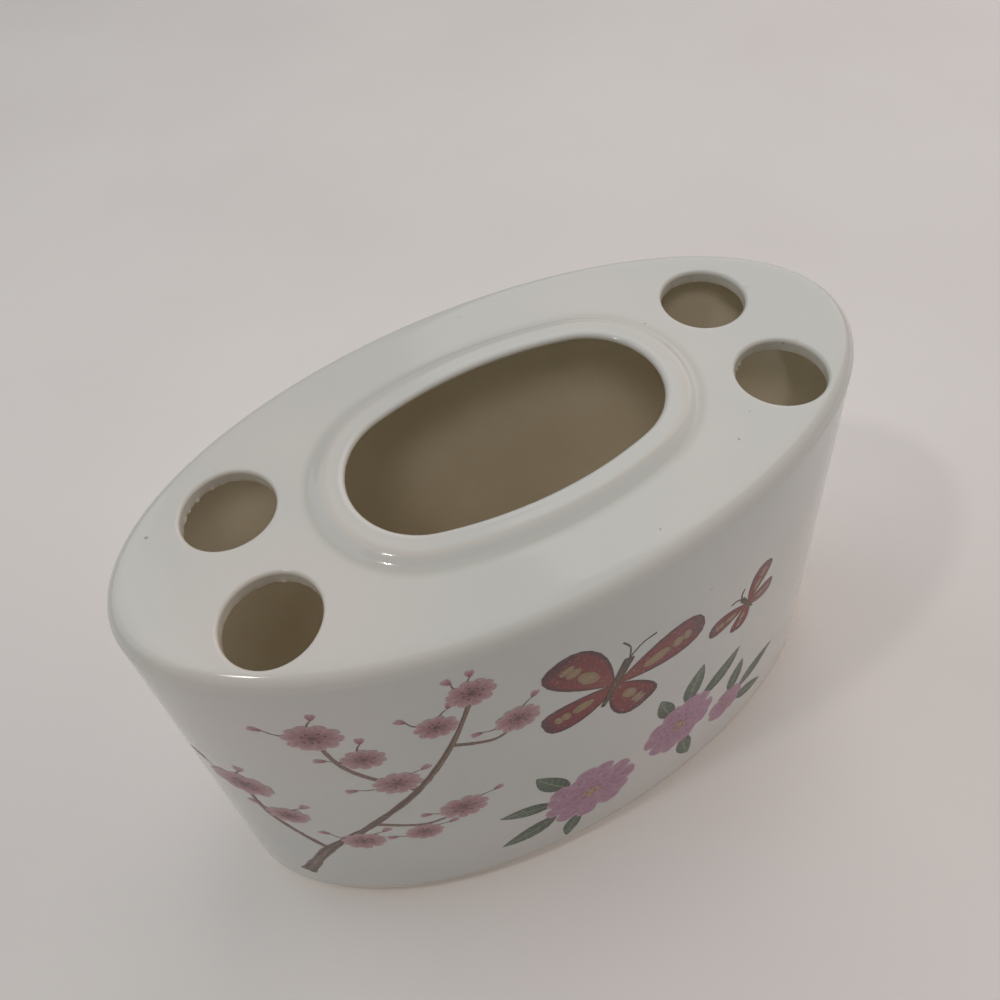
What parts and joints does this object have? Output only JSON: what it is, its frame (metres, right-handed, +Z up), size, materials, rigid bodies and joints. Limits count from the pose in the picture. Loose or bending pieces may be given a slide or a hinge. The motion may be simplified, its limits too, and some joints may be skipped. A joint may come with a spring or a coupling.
{
  "type": "toothbrush holder",
  "caption": "Oval glazed ceramic toothbrush holder with round brush holes beside a wide raised-rim opening and a printed flower front; stands on a bare foot ring.",
  "frame": {"origin": "middle of the footprint, on the surface that the holder stands on", "axes": "+Z up, +X along the long side, the printed front towards -Y"},
  "size_m": [0.176, 0.0901, 0.1135],
  "materials": {
    "biscuit_clay": "bare fired clay, cream",
    "white_glaze": "glossy white glaze",
    "mauve_enamel": "fired print, mauve pink",
    "green_enamel": "fired print, dark green",
    "brown_enamel": "fired print, brown",
    "pink_enamel": "fired print, pale pink",
    "red_enamel": "fired print, dark red"
  },
  "bodies": {
    "root": {"side_wall": "biscuit_clay", "deck_seam": "biscuit_clay", "brush_deck": "biscuit_clay", "opening_collar": "biscuit_clay", "floor_slab": "biscuit_clay", "foot_ring": "biscuit_clay", "floor_cove": "biscuit_clay", "glaze_coat": "white_glaze", "flower_enamel": "mauve_enamel", "leaf_enamel": "green_enamel", "branch_enamel": "brown_enamel", "blossom_enamel": "pink_enamel", "butterfly_enamel": "red_enamel"}
  },
  "joints": []
}
